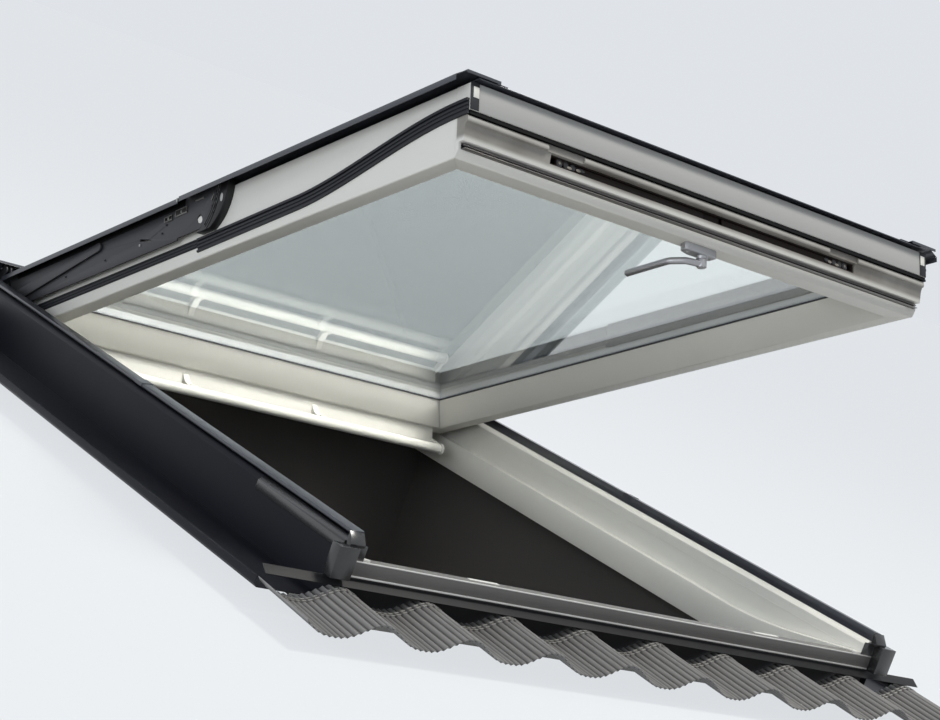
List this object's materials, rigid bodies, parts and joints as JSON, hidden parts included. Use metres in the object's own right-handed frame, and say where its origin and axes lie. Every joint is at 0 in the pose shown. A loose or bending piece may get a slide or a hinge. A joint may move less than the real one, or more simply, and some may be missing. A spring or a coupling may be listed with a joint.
{
  "type": "roof window",
  "caption": "Top-hung and centre-pivoting roof window: glazed white sash in a white frame, dark claddings, rubber seals, vent flap, swan-neck handle and flashing with a pleated apron.",
  "frame": {"origin": "on the underside of the frame's bottom rail, at its middle across the window and on the rail's reference line", "axes": "+X across the window to the right seen from the foot, +Y up the roof slope, +Z outwards from the roof"},
  "size_m": [1.412, 1.6772, 0.7982],
  "materials": {
    "pu_white": "satin white polyurethane coat",
    "anthracite": "powder-coated aluminium sheet, satin",
    "grey_profile": "light grey coated aluminium",
    "flashing": "coated aluminium sheet, satin",
    "rubber_black": "matt black sealing rubber",
    "black_plastic": "black moulded plastic",
    "clear_glass": "clear float glass",
    "spacer": "plain spacer bar",
    "dark_steel": "dark coated steel",
    "zinc_steel": "zinc-plated steel",
    "satin_aluminium": "satin cast aluminium",
    "white_plastic": "white moulded plastic",
    "felt": "pale felt"
  },
  "bodies": {
    "frame": {"apron_flange": "flashing", "bottom_cladding": "flashing", "bracket_screws": "zinc_steel", "cladding_clips": "anthracite", "cladding_pads": "felt", "corner_pieces": "black_plastic", "fixing_brackets": "zinc_steel", "frame_bottom_rail": "pu_white", "frame_side_left": "pu_white", "frame_side_right": "pu_white", "frame_top_rail": "pu_white", "head_flashing": "flashing", "hinge_brackets": "dark_steel", "hinge_hood": "anthracite", "hood_ends": "anthracite", "pleated_apron": "flashing", "side_cladding_left": "anthracite", "side_cladding_right": "anthracite", "side_flashing_left": "flashing", "side_flashing_right": "flashing", "strikers": "zinc_steel"},
    "arms": {"arm_crossbar": "dark_steel", "arm_left": "dark_steel", "arm_right": "dark_steel", "pivot_housings": "dark_steel", "top_cover": "anthracite", "upper_side_cover_left": "anthracite", "upper_side_cover_right": "anthracite"},
    "sash": {"bottom_cover": "anthracite", "cover_gasket": "rubber_black", "front_gasket": "rubber_black", "front_profile": "grey_profile", "glass_spacer": "spacer", "glazing_gasket": "rubber_black", "handle_base": "satin_aluminium", "inner_pane": "clear_glass", "lip_gasket": "rubber_black", "lock_channel": "dark_steel", "lower_side_cover_left": "anthracite", "lower_side_cover_right": "anthracite", "lower_side_gasket_left": "rubber_black", "lower_side_gasket_right": "rubber_black", "outer_pane": "clear_glass", "pivot_guards": "black_plastic", "pivot_tracks": "zinc_steel", "sash_bottom_rail": "pu_white", "sash_side_left": "pu_white", "sash_side_right": "pu_white", "sash_top_rail": "pu_white", "upper_side_gaskets": "rubber_black"},
    "lock_left": {"lock_bar_left": "dark_steel"},
    "lock_right": {"lock_bar_right": "dark_steel"},
    "handle": {"handle_lever": "satin_aluminium"},
    "vent": {"vent_bar": "white_plastic", "vent_end_caps": "white_plastic", "vent_flap": "white_plastic", "vent_straps": "white_plastic"},
    "stays": {"stay_left": "dark_steel", "stay_right": "dark_steel"}
  },
  "joints": [
    {"name": "top_hinge", "type": "hinge", "parent": "frame", "child": "arms", "pos_m": [0, 1.353, 0.157], "axis": [-1, 0, 0], "range_deg": [-28.07, 16.93]},
    {"name": "centre_pivot", "type": "hinge", "parent": "arms", "child": "sash", "pos_m": [0, 0.79322, 0.45042], "axis": [-1, 0, 0], "range_deg": [0, 135]},
    {"name": "handle_turn", "type": "hinge", "parent": "sash", "child": "handle", "pos_m": [0.008, 0.13204, 0.66418], "axis": [0, -0.4706, -0.8824], "range_deg": [0, 90]},
    {"name": "lock_left_slide", "type": "slide", "parent": "sash", "child": "lock_left", "axis": [-1, 0, 0], "range_m": [0, 0.0091]},
    {"name": "lock_right_slide", "type": "slide", "parent": "sash", "child": "lock_right", "axis": [1, 0, 0], "range_m": [0, 0.0091]},
    {"name": "vent_turn", "type": "hinge", "parent": "sash", "child": "vent", "pos_m": [0, 1.24521, 0.07962], "axis": [1, 0, 0], "range_deg": [0, 25]},
    {"name": "stay_turn", "type": "hinge", "parent": "frame", "child": "stays", "pos_m": [0, 1.353, 0.075], "axis": [-1, 0, 0], "range_deg": [-26.5, 16]}
  ],
  "couplings": [
    {"joint": "lock_left_slide", "follows": "handle_turn", "m_per_rad": 0.0057296},
    {"joint": "lock_right_slide", "follows": "handle_turn", "m_per_rad": 0.0057296},
    {"joint": "stay_turn", "follows": "top_hinge", "ratio": 0.92}
  ]
}
